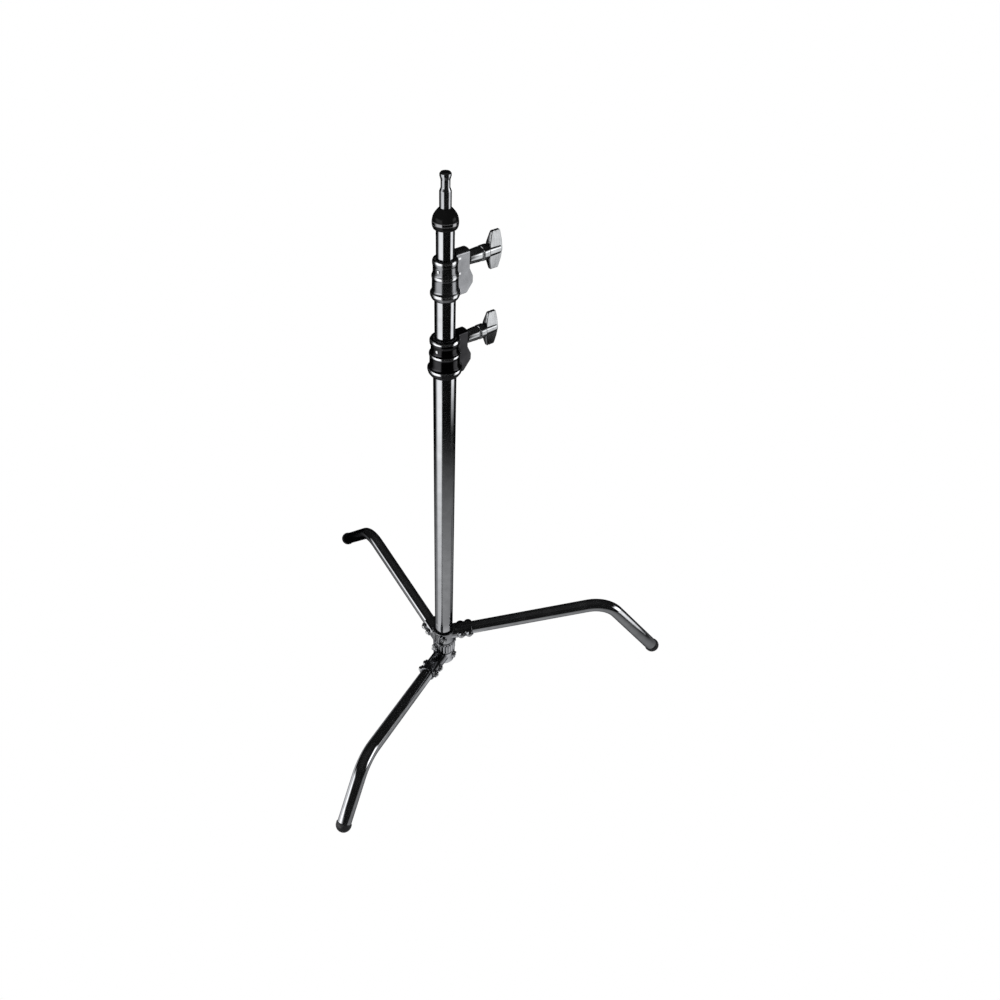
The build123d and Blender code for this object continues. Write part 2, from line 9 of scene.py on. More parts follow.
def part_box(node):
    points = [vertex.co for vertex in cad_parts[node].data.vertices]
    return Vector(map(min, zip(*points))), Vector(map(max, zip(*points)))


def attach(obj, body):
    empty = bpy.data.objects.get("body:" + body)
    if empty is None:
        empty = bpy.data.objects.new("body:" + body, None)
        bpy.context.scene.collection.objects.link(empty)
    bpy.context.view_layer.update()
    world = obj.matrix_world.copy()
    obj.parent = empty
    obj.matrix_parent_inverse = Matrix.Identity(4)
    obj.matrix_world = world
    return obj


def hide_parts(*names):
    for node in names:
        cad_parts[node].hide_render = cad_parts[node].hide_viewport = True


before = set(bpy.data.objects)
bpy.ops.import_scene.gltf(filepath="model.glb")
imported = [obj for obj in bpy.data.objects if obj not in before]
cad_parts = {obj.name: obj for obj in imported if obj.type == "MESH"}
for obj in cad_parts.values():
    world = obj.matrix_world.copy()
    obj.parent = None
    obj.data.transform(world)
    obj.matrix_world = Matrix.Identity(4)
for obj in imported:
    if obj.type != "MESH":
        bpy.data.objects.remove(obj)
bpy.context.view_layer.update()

bl_info = {
    "name": "Short Light Stand Builder",
    "version": (1, 0, 0),
    "blender": (4, 5, 0),
    "location": "3D View > Sidebar > Stand",
    "description": "Builds a short light stand: tubes, collars, knobs, legs and hub, around its CAD frame",
    "category": "Add Mesh",
}

MM = 0.001
TURN = 2 * math.pi
AROUND = 96
SMALL_AROUND = 48
ARC_STEPS = 6
SHARP_ANGLE = math.radians(32)
LEVELS = {"lower": 0.703, "upper": 0.817}
KNOB_HEADING = math.radians(34.0)


# ------------------------------------------------------------------ settings
class StandSizes(bpy.types.PropertyGroup):
    """Sizes that a user would change. They repeat the CAD frame's own values."""

    knob_azimuth: bpy.props.FloatProperty(
        name="Knob azimuth", description="Direction in which both knobs point",
        default=KNOB_HEADING, subtype="ANGLE")
    knob_root: bpy.props.FloatProperty(
        name="Knob root", description="Distance of the knob's inner end from the column axis",
        default=37.0 * MM, subtype="DISTANCE", unit="LENGTH")
    knob_tip: bpy.props.FloatProperty(
        name="Knob tip", description="Distance of the knob's outer end from the column axis",
        default=95.0 * MM, subtype="DISTANCE", unit="LENGTH")
    wing_span: bpy.props.FloatProperty(
        name="Wing span", description="Length of the two knob wings together",
        default=52.0 * MM, subtype="DISTANCE", unit="LENGTH")
    leg_bend_radius: bpy.props.FloatProperty(
        name="Leg bend radius", description="Radius of the bend in each leg tube",
        default=65.0 * MM, subtype="DISTANCE", unit="LENGTH")
    foot_radius: bpy.props.FloatProperty(
        name="Foot radius", description="Radius of the domed rubber feet",
        default=14.0 * MM, subtype="DISTANCE", unit="LENGTH")


class StandColours(bpy.types.PropertyGroup):
    """Base colours of the finishes."""

    tube: bpy.props.FloatVectorProperty(
        name="Tube plating", description="Smoked plating of the tubes", size=3,
        subtype="COLOR", default=(0.58, 0.59, 0.61))
    casting: bpy.props.FloatVectorProperty(
        name="Casting", description="Plated castings", size=3,
        subtype="COLOR", default=(0.25, 0.255, 0.267))
    rubber: bpy.props.FloatVectorProperty(
        name="Rubber", description="Feet and bumper", size=3,
        subtype="COLOR", default=(0.010, 0.010, 0.011))


# ------------------------------------------------------------------ meshes
def mesh_piece(name, points, faces, material, sharp=SHARP_ANGLE):
    """Mesh object at the origin with smooth faces, outward normals and sharp creases kept."""
    mesh = bpy.data.meshes.new(name)
    mesh.from_pydata(points.tolist(), [], faces)
    mesh.polygons.foreach_set("use_smooth", np.ones(len(mesh.polygons), bool))
    mesh.set_sharp_from_angle(angle=sharp)
    mesh.materials.append(material)
    mesh.validate()
    piece = bpy.data.objects.new(name, mesh)
    bpy.context.scene.collection.objects.link(piece)
    return piece


def joined(shells):
    """Points and faces of several closed shells as one."""
    points, faces, start = [], [], 0
    for shell_points, shell_faces in shells:
        points.append(shell_points)
        faces += [tuple(index + start for index in face) for face in shell_faces]
        start += len(shell_points)
    return np.concatenate(points), faces


def outward(points, faces):
    """The same shell with its faces turned outwards, judged by its signed volume."""
    volume = 0.0
    for face in faces:
        corners = points[list(face)]
        fans = np.cross(corners[1:-1], corners[2:])
        volume += float(np.einsum("ij,j->", fans, corners[0]))
    return points, faces if volume > 0 else [face[::-1] for face in faces]


def grid_faces(rows, columns, closed):
    """Quads of a grid that closes round its columns, and round its rows if closed."""
    row = np.arange(rows if closed else rows - 1)[:, None]
    column = np.arange(columns)[None, :]
    ahead = (row + 1) % rows
    right = (column + 1) % columns
    corners = [row * columns + column, ahead * columns + column,
               ahead * columns + right, row * columns + right]
    return np.stack(np.broadcast_arrays(*corners), -1).reshape(-1, 4).tolist()


def hexagon(angle):
    """Radius of a hexagon over its corner radius: cosine of 30 degrees over the cosine from its flat."""
    return math.cos(math.pi / 6) / np.cos(angle % (math.pi / 3) - math.pi / 6)


def turned(profile, frame_of, around=AROUND, closed=False, hexed=None):
    """Profile of (distance along, radius) points carried round a centre line.

    Each row is a circle of its radius in the plane that frame_of gives at its distance. A hexed
    row is a hexagon. An open profile starts and ends on the line, where it closes in a pole.
    """
    profile = np.asarray(profile, float)
    along, radius = profile[:, 0], profile[:, 1]
    centre, normal, side = frame_of(along)
    angle = np.arange(around) / around * TURN
    share = np.zeros(len(profile)) if hexed is None else np.asarray(hexed, float)
    reach = radius[:, None] * (1 + share[:, None] * (hexagon(angle) - 1)[None, :])
    ring = np.cos(angle)[None, :, None] * normal[:, None, :] + np.sin(angle)[None, :, None] * side[:, None, :]
    points = centre[:, None, :] + reach[:, :, None] * ring
    if closed:
        return outward(points.reshape(-1, 3), grid_faces(len(profile), around, True))
    inner = points[1:-1]
    count = len(inner) * around
    faces = grid_faces(len(inner), around, False)
    step = np.arange(around)
    after = (step + 1) % around
    faces += [(count, int(b), int(a)) for a, b in zip(step, after)]
    last = count - around
    faces += [(count + 1, int(last + a), int(last + b)) for a, b in zip(step, after)]
    points = np.concatenate([inner.reshape(-1, 3), centre[:1], centre[-1:]])
    return outward(points, faces)


def rounded(corners, radius, steps=ARC_STEPS, closed=True):
    """Corner points with each corner rounded: a blend of the two tangent points through the corner."""
    corners = np.asarray(corners, float)
    count = len(corners)
    result = []
    for index in range(count):
        here = corners[index]
        if not closed and index in (0, count - 1):
            result.append(here[None])
            continue
        before, after = corners[index - 1] - here, corners[(index + 1) % count] - here
        cut = min(radius, 0.45 * np.linalg.norm(before), 0.45 * np.linalg.norm(after))
        first = here + before / np.linalg.norm(before) * cut
        last = here + after / np.linalg.norm(after) * cut
        t = np.linspace(0, 1, steps + 1)[:, None]
        result.append((1 - t) ** 2 * first + 2 * t * (1 - t) * here + t ** 2 * last)
    return np.concatenate(result)


def straight(origin, direction, across):
    """Centre line through an origin: every distance has the same normal and side."""
    origin, direction, across = (np.asarray(v, float) for v in (origin, direction, across))
    direction = direction / np.linalg.norm(direction)
    side = np.cross(direction, across)

    def frame_of(along):
        ones = np.ones(len(along))[:, None]
        return origin + np.asarray(along)[:, None] * direction, ones * across, ones * side

    return frame_of


UPRIGHT = straight((0, 0, 0), (0, 0, 1), (1, 0, 0))


def radial(azimuth, height):
    """Centre line straight out of the column axis at a height."""
    return straight((0, 0, height), (math.cos(azimuth), math.sin(azimuth), 0), (0, 0, 1))


# Depth of the flat ring inside a plate's rounded edge, in edge widths from the rim.
FLAT_RING = 1.25


def plate(outline, origin, x_axis, y_axis, half, edge, taper, steps):
    """Plate with rounded edges: the outline is drawn in x and y, and moved along x cross y.

    Each row is the outline moved in by edge times (1 - sin a), at a depth of half - edge + edge
    times cos a, for a from 90 degrees at the rim to 0 on the face, on both sides. The depth falls
    by taper per unit of y away from the middle, so both halves slope from a spine on y = 0. The
    outline is its own mirror in y, with four points to each corner. A flat ring of a quarter of the
    edge follows the rounding.
    """
    outline = np.asarray(outline, float)
    x_axis, y_axis = np.asarray(x_axis, float), np.asarray(y_axis, float)
    z_axis = np.cross(x_axis, y_axis)
    run = np.roll(outline, -1, 0) - np.roll(outline, 1, 0)
    run /= np.linalg.norm(run, axis=1)[:, None]
    area = np.sum(outline[:, 0] * np.roll(outline[:, 1], -1) - outline[:, 1] * np.roll(outline[:, 0], -1))
    inward = np.stack([-run[:, 1], run[:, 0]], 1) * np.sign(area)
    quarter = np.linspace(0, math.pi / 2, steps + 1)
    inset = edge * np.concatenate([[FLAT_RING], 1 - np.sin(quarter), 1 - np.sin(quarter[::-1]), [FLAT_RING]])
    rise = np.concatenate([[half], half - edge + edge * np.cos(quarter)])
    depth = np.concatenate([rise, -rise[::-1]])
    flat = outline[None] + inset[:, None, None] * inward[None]
    deep = depth[:, None] - np.sign(depth)[:, None] * taper * np.abs(flat[..., 1])
    points = (np.asarray(origin) + flat[..., :1] * x_axis + flat[..., 1:] * y_axis
              + deep[..., None] * z_axis)
    rows, columns = flat.shape[:2]
    faces = grid_faces(rows, columns, False)
    side = np.arange(2, 2 + columns // 2) % columns
    mate = (3 - side) % columns
    shells = [points.reshape(-1, 3)]
    for row, spine_start in ((0, rows * columns), (rows - 1, rows * columns + len(side))):
        middle = np.asarray(origin) + flat[row, side, :1] * x_axis + depth[row] * z_axis
        shells.append(middle)
        spine = spine_start + np.arange(len(side))
        here, there = side + row * columns, mate + row * columns
        ladder = np.concatenate([np.stack([here[:-1], here[1:], spine[1:], spine[:-1]], 1),
                                 np.stack([spine[:-1], spine[1:], there[1:], there[:-1]], 1)]).tolist()
        ladder += [[there[0], here[0], spine[0]], [here[-1], there[-1], spine[-1]]]
        faces += [face if row == 0 else face[::-1] for face in ladder]
    faces = [[int(index) for index in face] for face in faces]
    return outward(np.concatenate(shells), faces)


def settled(piece, node, body):
    """Let a piece stand for its CAD node and move with its body."""
    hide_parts(node)
    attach(piece, body)


def cad_material(node, material):
    """Give a CAD node a finish without touching its mesh."""
    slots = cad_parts[node].data.materials
    slots.clear()
    slots.append(material)


def softened_copy(node, voxel, passes):
    """Cast-looking copy of a CAD node: merged, rebuilt in small cells and relaxed, so edges round over."""
    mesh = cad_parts[node].data.copy()
    piece = bpy.data.objects.new(node + "_cast", mesh)
    bpy.context.scene.collection.objects.link(piece)
    weld = piece.modifiers.new("weld", "WELD")
    weld.merge_threshold = 0.01 * MM
    remesh = piece.modifiers.new("cells", "REMESH")
    remesh.mode = "VOXEL"
    remesh.voxel_size = voxel
    smooth = piece.modifiers.new("relax", "SMOOTH")
    smooth.factor = 0.5
    smooth.iterations = passes
    depsgraph = bpy.context.evaluated_depsgraph_get()
    done = bpy.data.meshes.new_from_object(piece.evaluated_get(depsgraph))
    piece.modifiers.clear()
    piece.data = done
    done.polygons.foreach_set("use_smooth", np.ones(len(done.polygons), bool))
    return piece


# ------------------------------------------------------------------ shader groups
def new_group(name, inputs, outputs):
    """Empty shader group with named float or colour sockets: name, kind, default."""
    tree = bpy.data.node_groups.new(name, "ShaderNodeTree")
    for socket_name, kind, default in inputs:
        socket = tree.interface.new_socket(socket_name, in_out="INPUT", socket_type=kind)
        if default is not None:
            socket.default_value = default
    for socket_name, kind in outputs:
        tree.interface.new_socket(socket_name, in_out="OUTPUT", socket_type=kind)
    return tree, tree.nodes.new("NodeGroupInput"), tree.nodes.new("NodeGroupOutput")


def math_node(tree, operation, first, second=None, clamp=False):
    """Math node fed by sockets or numbers."""
    node = tree.nodes.new("ShaderNodeMath")
    node.operation = operation
    node.use_clamp = clamp
    for index, value in enumerate((first, second)):
        if value is None:
            continue
        if isinstance(value, bpy.types.NodeSocket):
            tree.links.new(value, node.inputs[index])
        else:
            node.inputs[index].default_value = value
    return node.outputs[0]


def mapped_noise(tree, vector, stretch, scale, detail, roughness=0.55):
    """Noise on a vector that is first stretched along its axes."""
    mapping = tree.nodes.new("ShaderNodeMapping")
    mapping.inputs["Scale"].default_value = stretch
    tree.links.new(vector, mapping.inputs["Vector"])
    noise = tree.nodes.new("ShaderNodeTexNoise")
    noise.inputs["Detail"].default_value = detail
    noise.inputs["Roughness"].default_value = roughness
    if isinstance(scale, bpy.types.NodeSocket):
        tree.links.new(scale, noise.inputs["Scale"])
    else:
        noise.inputs["Scale"].default_value = scale
    tree.links.new(mapping.outputs[0], noise.inputs["Vector"])
    return noise.outputs["Fac"]


def ranged(tree, value, low, high, new_low, new_high):
    """Map Range node with a clamped result."""
    node = tree.nodes.new("ShaderNodeMapRange")
    for name, number in (("From Min", low), ("From Max", high), ("To Min", new_low), ("To Max", new_high)):
        if isinstance(number, bpy.types.NodeSocket):
            tree.links.new(number, node.inputs[name])
        else:
            node.inputs[name].default_value = number
    tree.links.new(value, node.inputs["Value"])
    return node.outputs["Result"]


def handling_group():
    """Handling marks: broad smudges and fine scratches, as a roughness and a height."""
    tree, source, sink = new_group(
        "handling marks",
        [("Vector", "NodeSocketVector", None), ("Clean", "NodeSocketFloat", 0.08),
         ("Smudged", "NodeSocketFloat", 0.2), ("Scratches", "NodeSocketFloat", 0.3)],
        [("Roughness", "NodeSocketFloat"), ("Height", "NodeSocketFloat"), ("Mask", "NodeSocketFloat")])
    vector = source.outputs["Vector"]
    smudge = ranged(tree, mapped_noise(tree, vector, (1, 1, 0.5), 22.0, 4.0), 0.45, 0.72, 0.0, 1.0)
    streak = ranged(tree, mapped_noise(tree, vector, (1, 1, 0.04), 700.0, 2.0), 0.62, 0.75, 0.0, 1.0)
    scratch = math_node(tree, "MULTIPLY", streak, source.outputs["Scratches"])
    mask = math_node(tree, "MAXIMUM", smudge, scratch)
    rough = ranged(tree, mask, 0.0, 1.0, source.outputs["Clean"], source.outputs["Smudged"])
    tree.links.new(rough, sink.inputs["Roughness"])
    tree.links.new(scratch, sink.inputs["Height"])
    tree.links.new(mask, sink.inputs["Mask"])
    return tree


def grain_group():
    """Casting or moulding grain: fine pits over a slow swell, as a height."""
    tree, source, sink = new_group(
        "surface grain",
        [("Vector", "NodeSocketVector", None), ("Scale", "NodeSocketFloat", 900.0),
         ("Swell", "NodeSocketFloat", 0.4)],
        [("Height", "NodeSocketFloat"), ("Tone", "NodeSocketFloat")])
    fine = mapped_noise(tree, source.outputs["Vector"], (1, 1, 1), source.outputs["Scale"], 3.0)
    slow = mapped_noise(tree, source.outputs["Vector"], (1, 1, 1), 60.0, 2.0)
    swell = math_node(tree, "MULTIPLY", slow, source.outputs["Swell"])
    tree.links.new(math_node(tree, "ADD", fine, swell), sink.inputs["Height"])
    tree.links.new(slow, sink.inputs["Tone"])
    return tree


def dust_group():
    """Dust that settles on faces that look up, broken by noise, as a mask."""
    tree, source, sink = new_group(
        "settled dust",
        [("Vector", "NodeSocketVector", None), ("Normal", "NodeSocketVector", None),
         ("Amount", "NodeSocketFloat", 0.3)],
        [("Mask", "NodeSocketFloat")])
    split = tree.nodes.new("ShaderNodeSeparateXYZ")
    tree.links.new(source.outputs["Normal"], split.inputs[0])
    up = ranged(tree, split.outputs["Z"], 0.4, 1.0, 0.0, 1.0)
    spots = mapped_noise(tree, source.outputs["Vector"], (1, 1, 1), 160.0, 5.0)
    patch = ranged(tree, spots, 0.4, 0.75, 0.0, 1.0)
    mask = math_node(tree, "MULTIPLY", math_node(tree, "MULTIPLY", up, patch), source.outputs["Amount"])
    tree.links.new(mask, sink.inputs["Mask"])
    return tree


GROUPS = {}


def place_group(tree, key, vector, **values):
    """Put a shader group in a material with its own values."""
    node = tree.nodes.new("ShaderNodeGroup")
    node.node_tree = GROUPS[key]
    tree.links.new(vector, node.inputs["Vector"])
    for name, value in values.items():
        node.inputs[name].default_value = value
    return node


DUST_COLOUR = (0.42, 0.41, 0.39, 1)
# Painted highlight: beads are painted bright only up to this distance towards the knob, so that the lugs stay
# plain.
HIGHLIGHT_REACH = (19.4 * MM, 20.2 * MM)


def painted_highlight_mask(tree, coordinates, highlight_bands):
    """Painted highlight mask, 1 on each bead: a height and a half width, up to the highlight reach towards
    the knob.
    """
    split = tree.nodes.new("ShaderNodeSeparateXYZ")
    tree.links.new(coordinates, split.inputs[0])
    mask = None
    for height, half in highlight_bands:
        away = math_node(tree, "ABSOLUTE", math_node(tree, "SUBTRACT", split.outputs["Z"], height))
        band = ranged(tree, away, 0.6 * half, half, 1.0, 0.0)
        mask = band if mask is None else math_node(tree, "MAXIMUM", mask, band)
    toward = tree.nodes.new("ShaderNodeVectorMath")
    toward.operation = "DOT_PRODUCT"
    toward.inputs[1].default_value = (math.cos(KNOB_HEADING), math.sin(KNOB_HEADING), 0)
    tree.links.new(coordinates, toward.inputs[0])
    return math_node(tree, "MULTIPLY", mask, ranged(tree, toward.outputs["Value"], *HIGHLIGHT_REACH, 1.0, 0.0))


def finish_material(name, colour, clean, smudged, scratches, grain, bump, dust, shade, metallic=1.0,
                    specular=0.5, edge_tint=None, highlight_bands=(), highlight_colour=(0.75, 0.76, 0.78)):
    """Principled finish with handling marks, grain and dust.

    The colour varies by shade with the grain's slow tone, dust lightens it, roughness runs from
    clean to smudged, and the grain and scratches together feed one bump. Beads get a painted
    highlight: a light, fully metallic colour in bands at set heights.
    """
    material = bpy.data.materials.new(name)
    material.use_nodes = True
    tree = material.node_tree
    shader = tree.nodes["Principled BSDF"]
    coordinates = tree.nodes.new("ShaderNodeTexCoord").outputs["Object"]
    marks = place_group(tree, "marks", coordinates, Clean=clean, Smudged=smudged, Scratches=scratches)
    texture = place_group(tree, "grain", coordinates, Scale=grain)
    settled_dust = place_group(tree, "dust", coordinates, Amount=dust)
    tree.links.new(tree.nodes.new("ShaderNodeNewGeometry").outputs["Normal"], settled_dust.inputs["Normal"])
    tone = ranged(tree, texture.outputs["Tone"], 0.3, 0.7, 0.0, 1.0)
    mix = tree.nodes.new("ShaderNodeMix")
    mix.data_type = "RGBA"
    mix.inputs["A"].default_value = (*(channel * (1 - shade) for channel in colour), 1)
    mix.inputs["B"].default_value = (*(min(1.0, channel * (1 + shade)) for channel in colour), 1)
    tree.links.new(tone, mix.inputs["Factor"])
    dusty = tree.nodes.new("ShaderNodeMix")
    dusty.data_type = "RGBA"
    dusty.inputs["B"].default_value = DUST_COLOUR
    tree.links.new(mix.outputs["Result"], dusty.inputs["A"])
    tree.links.new(settled_dust.outputs["Mask"], dusty.inputs["Factor"])
    surface = dusty.outputs["Result"]
    shader.inputs["Metallic"].default_value = metallic
    # Painted highlight: bands at set heights turn light and fully metallic, standing in for reflected
    # highlights.
    if highlight_bands:
        mask = painted_highlight_mask(tree, coordinates, highlight_bands)
        highlight_mix = tree.nodes.new("ShaderNodeMix")
        highlight_mix.data_type = "RGBA"
        highlight_mix.inputs["B"].default_value = (*highlight_colour, 1)
        tree.links.new(surface, highlight_mix.inputs["A"])
        tree.links.new(mask, highlight_mix.inputs["Factor"])
        surface = highlight_mix.outputs["Result"]
        tree.links.new(ranged(tree, mask, 0.0, 1.0, metallic, 1.0), shader.inputs["Metallic"])
    tree.links.new(surface, shader.inputs["Base Color"])
    rough = math_node(tree, "ADD", marks.outputs["Roughness"],
                      math_node(tree, "MULTIPLY", settled_dust.outputs["Mask"], 0.5), clamp=True)
    tree.links.new(rough, shader.inputs["Roughness"])
    height = math_node(tree, "SUBTRACT", texture.outputs["Height"],
                       math_node(tree, "MULTIPLY", marks.outputs["Height"], 0.4))
    relief = tree.nodes.new("ShaderNodeBump")
    relief.inputs["Strength"].default_value = bump
    relief.inputs["Distance"].default_value = 0.2 * MM
    tree.links.new(height, relief.inputs["Height"])
    tree.links.new(relief.outputs["Normal"], shader.inputs["Normal"])
    shader.inputs["Specular IOR Level"].default_value = specular
    if edge_tint is not None:
        shader.inputs["Specular Tint"].default_value = (*edge_tint, 1)
    return material


FINISHES = {}
# Reflection colour at grazing angles, which darkens the rims of plated pieces.
DARK_EDGE = (0.12, 0.12, 0.13)
# Bright bands on the beads: height and half width of each. On the collars they are partly polished metal and
# partly painted highlight; on the rubber bumper the band is a painted highlight only.
SATIN_HIGHLIGHT_BANDS = ((0.8235, 0.0016), (0.8035, 0.0016), (0.780, 0.002))
GLOSS_HIGHLIGHT_BANDS = ((0.7125, 0.0020), (0.691, 0.0019), (0.6685, 0.0022))
BUMPER_HIGHLIGHT_BAND = ((0.8725, 0.0022),)


def build_finishes(colours):
    """Make the shared groups and every finish once."""
    GROUPS.update(marks=handling_group(), grain=grain_group(), dust=dust_group())
    FINISHES.update(
        column=finish_material(
            "smoked plating, column", colours.tube, clean=0.10, smudged=0.20, scratches=0.25,
            grain=500.0, bump=0.02, dust=0.05, shade=0.08, edge_tint=DARK_EDGE),
        tube=finish_material(
            "smoked plating, risers", colours.tube, clean=0.07, smudged=0.16, scratches=0.25,
            grain=500.0, bump=0.015, dust=0.05, shade=0.08, edge_tint=DARK_EDGE),
        leg=finish_material(
            "smoked plating, legs", colours.tube, clean=0.06, smudged=0.16, scratches=0.35, grain=500.0,
            bump=0.02, dust=0.04, shade=0.10, edge_tint=DARK_EDGE),
        spigot=finish_material(
            "bright plated steel", (0.42, 0.43, 0.45), clean=0.12, smudged=0.22, scratches=0.5,
            grain=600.0, bump=0.02, dust=0.03, shade=0.08, edge_tint=DARK_EDGE),
        satin=finish_material(
            "satin dark casting", colours.casting, clean=0.15, smudged=0.24, scratches=0.2, grain=1400.0,
            bump=0.12, dust=0.03, shade=0.16, edge_tint=DARK_EDGE, highlight_bands=SATIN_HIGHLIGHT_BANDS),
        gloss=finish_material(
            "gloss black casting", (0.03, 0.03, 0.032), clean=0.14, smudged=0.26, scratches=0.3,
            grain=1100.0, bump=0.08, dust=0.04, shade=0.3, highlight_bands=GLOSS_HIGHLIGHT_BANDS),
        hub=finish_material(
            "dark hub casting", (0.36, 0.365, 0.38), clean=0.08, smudged=0.18, scratches=0.3,
            grain=1200.0, bump=0.05, dust=0.02, shade=0.2, edge_tint=DARK_EDGE),
        steel=finish_material(
            "zinc plated steel", (0.62, 0.63, 0.64), clean=0.14, smudged=0.28, scratches=0.6,
            grain=900.0, bump=0.08, dust=0.05, shade=0.1),
        machined=finish_material(
            "machined steel", (0.35, 0.35, 0.36), clean=0.24, smudged=0.40, scratches=0.6, grain=900.0,
            bump=0.1, dust=0.1, shade=0.1),
        knob=finish_material(
            "smoked plating, knobs", (0.42, 0.43, 0.44), clean=0.10, smudged=0.20, scratches=0.3,
            grain=1100.0, bump=0.05, dust=0.03, shade=0.2, edge_tint=DARK_EDGE),
        rubber=finish_material(
            "black rubber", colours.rubber, clean=0.22, smudged=0.42, scratches=0.5, grain=1300.0,
            bump=0.15, dust=0.08, shade=0.3, metallic=0.0, specular=0.3),
        # The bumper is rubber, so its grey metallic band is only a painted highlight.
        bumper=finish_material(
            "gloss black bumper", (0.004, 0.004, 0.004), clean=0.09, smudged=0.2, scratches=0.3,
            grain=900.0, bump=0.03, dust=0.0, shade=0.1, metallic=0.0, specular=0.1, highlight_bands=BUMPER_HIGHLIGHT_BAND,
            highlight_colour=(0.3, 0.3, 0.31)),
        nylon=finish_material(
            "black nylon", (0.035, 0.035, 0.036), clean=0.38, smudged=0.5, scratches=0.3, grain=1500.0,
            bump=0.2, dust=0.05, shade=0.2, metallic=0.0),
        acetal=finish_material(
            "natural acetal", (0.72, 0.70, 0.64), clean=0.34, smudged=0.46, scratches=0.3, grain=1200.0,
            bump=0.12, dust=0.05, shade=0.1, metallic=0.0),
        brass=finish_material(
            "plain brass", (0.72, 0.52, 0.22), clean=0.26, smudged=0.42, scratches=0.6, grain=1000.0,
            bump=0.12, dust=0.05, shade=0.15),
    )


# ------------------------------------------------------------------ tables
# Tube node: its body and finish.
TUBES = {
    "column_tube": ("base", "column"),
    "riser_1_tube": ("riser_1", "tube"),
    "riser_2_tube": ("riser_2", "tube"),
}
TUBE_WALL = 1.5 * MM
RIM = 0.5 * MM

# Each leg's bend is a reach and a height, and its clamps are the reaches of the two bolts.
Leg = namedtuple("Leg", "body azimuth ring_height bend clamps foot_reach")
LEGS = {
    "front": Leg("base", math.radians(-117.8), 24.5 * MM,
                 (336 * MM, 97 * MM), (52 * MM, 72 * MM), 426 * MM),
    "left": Leg("left_leg", math.radians(118.6), 54.0 * MM,
                (304 * MM, 126 * MM), (34 * MM, 48.5 * MM), 429 * MM),
    "right": Leg("right_leg", 0.0, 83.5 * MM,
                 (321 * MM, 150 * MM), (34 * MM, 49.5 * MM), 438 * MM),
}
LEG_RADIUS = 12.5 * MM
LEG_BORE = 10.5 * MM
LEG_START = 28 * MM
FOOT_BAND = 3.5 * MM
FOOT_PLUG = 28 * MM
CLAMP_GRIP = 17.5 * MM
PLUNGER_TURN = math.radians(95)

# Pin node: its body, azimuth, height, half length and radius.
SPINDLE_PIN = ("spindle_pin", "base", KNOB_HEADING, 118 * MM, 17.2 * MM, 3 * MM)
SPIGOT_PIN = ("spigot_pin", "riser_2", math.radians(-12), 857 * MM, 12.2 * MM, 2.5 * MM)

# Rivet node: its body, height, inner end and the collar's radius there.
RIVETS = {
    "lower_collar_rivets": ("base", 700.5 * MM, 17.0 * MM, 20.6 * MM),
    "upper_collar_rivets": ("riser_1", 813.0 * MM, 14.6 * MM, 16.9 * MM),
}
RIVET_AZIMUTHS = (math.radians(112), math.radians(232))

# Cast node: its body, finish, slot and relaxing passes.
COLLARS = {
    "lower_collar": ("base", "gloss", "collar_gloss", 4),
    "upper_collar": ("riser_1", "satin", "collar_satin", 4),
}
CAST_CELL = 0.5 * MM

# CAD nodes that keep their own mesh, with their finish.
KEPT_NODES = {
    "riser_1_bush": "acetal", "riser_2_bush": "acetal", "hub_washers": "steel", "spindle": "machined",
    "lower_collar_liner": "nylon", "upper_collar_liner": "nylon", "lower_brake_shoe": "brass",
    "upper_brake_shoe": "brass", "lower_knob_screw": "steel", "upper_knob_screw": "steel",
}


# ------------------------------------------------------------------ pieces
def pipe(frame_of, stops, outer, inner, rim):
    """Tube wall: outer rows run along the stops, inner rows come back, and both rims are rounded."""
    corners = [(stops[0], inner), (stops[0], outer), (stops[-1], outer), (stops[-1], inner)]
    arcs = rounded(corners, rim).reshape(4, -1, 2)
    there = [(stop, outer) for stop in stops[1:-1]]
    back = [(stop, inner) for stop in stops[-2:0:-1]]
    profile = np.concatenate([arcs[0], arcs[1], there, arcs[2], arcs[3], back])
    return turned(profile, frame_of, closed=True)


def build_tube(node, body, finish_name):
    """Upright tube that fills its CAD node's box."""
    low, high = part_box(node)
    outer = (high[0] - low[0]) / 2
    stops = np.linspace(low[2], high[2], 9)
    points, faces = pipe(UPRIGHT, stops, outer, outer - TUBE_WALL, RIM)
    settled(mesh_piece(node + "_skin", points, faces, FINISHES[finish_name]), node, body)


